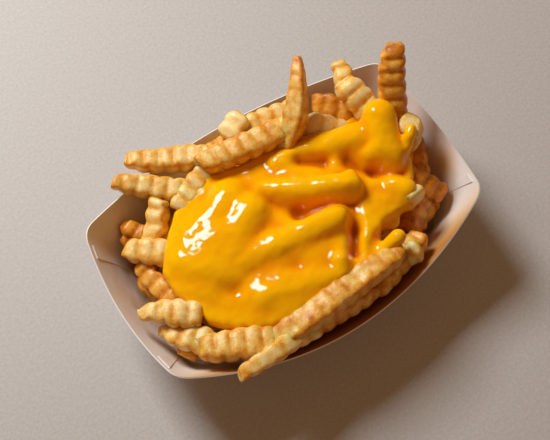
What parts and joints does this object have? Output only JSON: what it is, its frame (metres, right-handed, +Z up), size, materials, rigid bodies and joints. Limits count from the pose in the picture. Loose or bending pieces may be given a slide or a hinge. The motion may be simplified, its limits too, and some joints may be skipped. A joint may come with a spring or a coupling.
{
  "type": "cheese fries",
  "caption": "Crinkle-cut fries heaped in a folded white paperboard tray with bowed walls, covered by a thick glossy blanket of melted cheese sauce.",
  "frame": {"origin": "middle of the underside of the tray's flat base", "axes": "+X along the tray's length, +Y across it, +Z up"},
  "size_m": [0.1826, 0.1303, 0.0825],
  "materials": {
    "paperboard": "matt white clay-coated board",
    "fried_potato": "dry crisp fried crust, golden with browner ridges",
    "cheese_sauce": "wet glossy melted cheese"
  },
  "bodies": {
    "root": {"tray": "paperboard", "fries": "fried_potato", "cheese_sauce": "cheese_sauce"}
  },
  "joints": []
}
